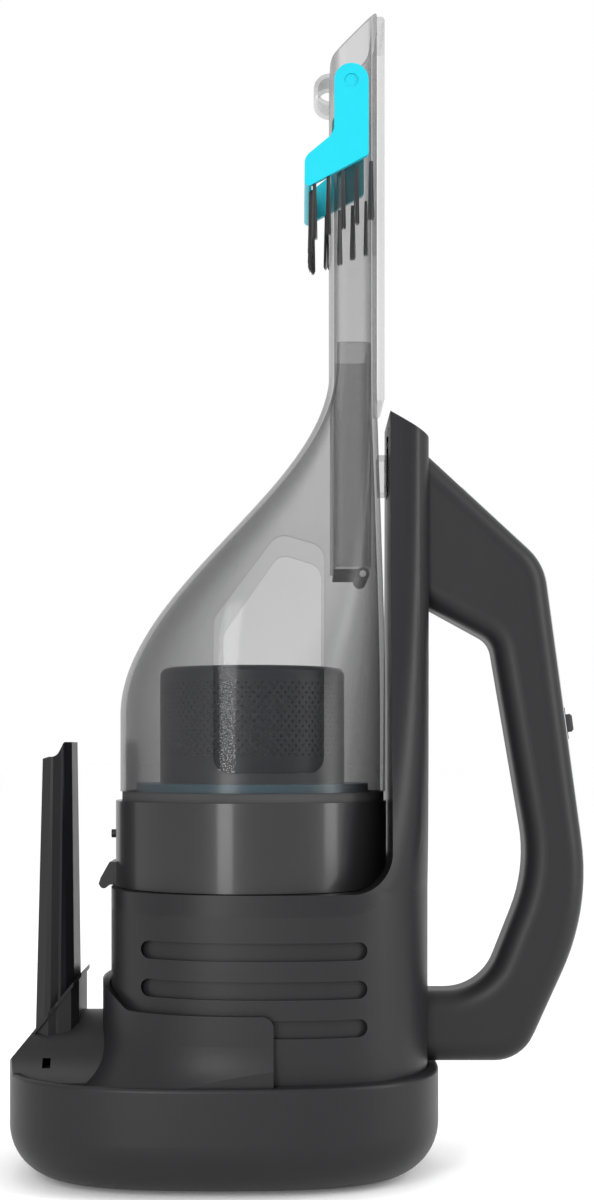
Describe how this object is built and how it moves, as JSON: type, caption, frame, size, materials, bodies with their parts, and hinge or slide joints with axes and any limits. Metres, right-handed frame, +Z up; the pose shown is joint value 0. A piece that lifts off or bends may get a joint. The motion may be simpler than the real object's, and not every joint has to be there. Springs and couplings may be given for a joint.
{
  "type": "handheld vacuum",
  "caption": "Upright handheld vacuum with clear dust bowl, flip brush and loop handle, standing in a charging base with a crevice tool.",
  "frame": {"origin": "centre of the bounding box on the table, under the charging base's feet", "axes": "+X from the crevice tool towards the handle, +Z up along the nozzle"},
  "size_m": [0.2162, 0.1242, 0.4311],
  "materials": {
    "dark_plastic": "satin moulded plastic, dark grey",
    "inner_plastic": "plain moulded plastic",
    "rubber": "matt black",
    "screw_steel": "plain steel",
    "contact_metal": "plated",
    "circuit_board": "solder mask",
    "jack_black": "plain",
    "silver": "satin silver",
    "cell_wrap": "shrink wrap",
    "smoked_clear": "smoky see-through plastic",
    "clear": "clear plastic",
    "dark_gloss": "dark glossy, slightly see-through",
    "filter_black": "perforated, near black",
    "filter_blue": "blue-tinted",
    "filter_cloth": "pleated filter cloth",
    "cyan": "bright cyan",
    "bristle": "black nylon bristles"
  },
  "bodies": {
    "base": {"base_shell": "dark_plastic", "base_bottom_plate": "inner_plastic", "base_screws": "screw_steel", "base_feet": "rubber", "dc_jack": "jack_black", "base_circuit_board": "circuit_board", "contact_springs": "contact_metal"},
    "contacts": {"charging_contacts": "contact_metal"},
    "tool": {"crevice_tool": "dark_plastic"},
    "vacuum": {"housing_left": "dark_plastic", "housing_right": "dark_plastic", "bowl_cradle": "dark_plastic", "handle_strip": "silver", "switch_body": "inner_plastic", "housing_screws": "screw_steel", "battery_cells": "cell_wrap", "battery_holder": "inner_plastic", "cell_links": "contact_metal", "motor": "screw_steel", "motor_bracket": "inner_plastic", "fan_shroud": "inner_plastic", "control_board": "circuit_board", "charge_pads": "contact_metal"},
    "fan": {"motor_shaft": "screw_steel", "fan_impeller": "inner_plastic"},
    "switch": {"power_switch": "dark_plastic"},
    "button": {"release_button": "dark_plastic"},
    "latch": {"release_latch": "inner_plastic"},
    "bowl": {"bowl_shell": "smoked_clear", "bowl_lug": "smoked_clear", "window_left": "clear", "window_right": "clear", "nozzle_top_plate": "clear", "nozzle_bumper": "smoked_clear", "inlet_duct": "smoked_clear", "flap_pin": "screw_steel", "lower_ring": "dark_gloss", "bowl_seal": "rubber", "front_catch": "dark_plastic", "ring_stud": "dark_plastic", "brush_pins": "cyan"},
    "filter": {"filter_cage": "filter_black", "filter_rim": "filter_blue", "filter_pleats": "filter_cloth", "intake_seal": "rubber"},
    "flap": {"inlet_flap": "rubber"},
    "brush": {"brush_frame": "cyan", "brush_bristles": "bristle"}
  },
  "joints": [
    {"name": "vacuum_lift", "type": "slide", "parent": "base", "child": "vacuum", "axis": [0, 0, 1], "range_m": [0, 0.09]},
    {"name": "tool_lift", "type": "slide", "parent": "base", "child": "tool", "axis": [0, 0, 1], "range_m": [0, 0.1]},
    {"name": "contact_press", "type": "slide", "parent": "base", "child": "contacts", "axis": [0, 0, -1], "range_m": [0, 0.0015], "stiffness_N_per_m": 200, "deforming": ["contact_springs"]},
    {"name": "fan_spin", "type": "hinge", "parent": "vacuum", "child": "fan", "pos_m": [-0.01035, 0, 0.06], "axis": [0, 0, 1], "continuous": true},
    {"name": "switch_slide", "type": "slide", "parent": "vacuum", "child": "switch", "axis": [-0.1347, 0, 0.9909], "range_m": [0, 0.005]},
    {"name": "button_press", "type": "slide", "parent": "vacuum", "child": "button", "axis": [-0.4909, 0, -0.8712], "range_m": [0, 0.0025], "stiffness_N_per_m": 600},
    {"name": "latch_retract", "type": "slide", "parent": "vacuum", "child": "latch", "axis": [1, 0, 0], "range_m": [0, 0.0026]},
    {"name": "bowl_tilt", "type": "hinge", "parent": "vacuum", "child": "bowl", "pos_m": [-0.07265, 0, 0.1076], "axis": [0, -1, 0], "range_deg": [0, 12]},
    {"name": "filter_twist", "type": "hinge", "parent": "bowl", "child": "filter", "pos_m": [-0.017, 0, 0.16], "axis": [0, 0, 1], "range_deg": [0, 30]},
    {"name": "flap_swing", "type": "hinge", "parent": "bowl", "child": "flap", "pos_m": [0.0244, 0, 0.2233], "axis": [0, -1, 0], "range_deg": [0, 55], "stiffness_Nm_per_rad": 0.002},
    {"name": "brush_flip", "type": "hinge", "parent": "bowl", "child": "brush", "pos_m": [0.02, 0, 0.4036], "axis": [0, 1, 0], "range_deg": [0, 180]}
  ],
  "couplings": [
    {"joint": "latch_retract", "follows": "button_press", "ratio": 1.04}
  ]
}
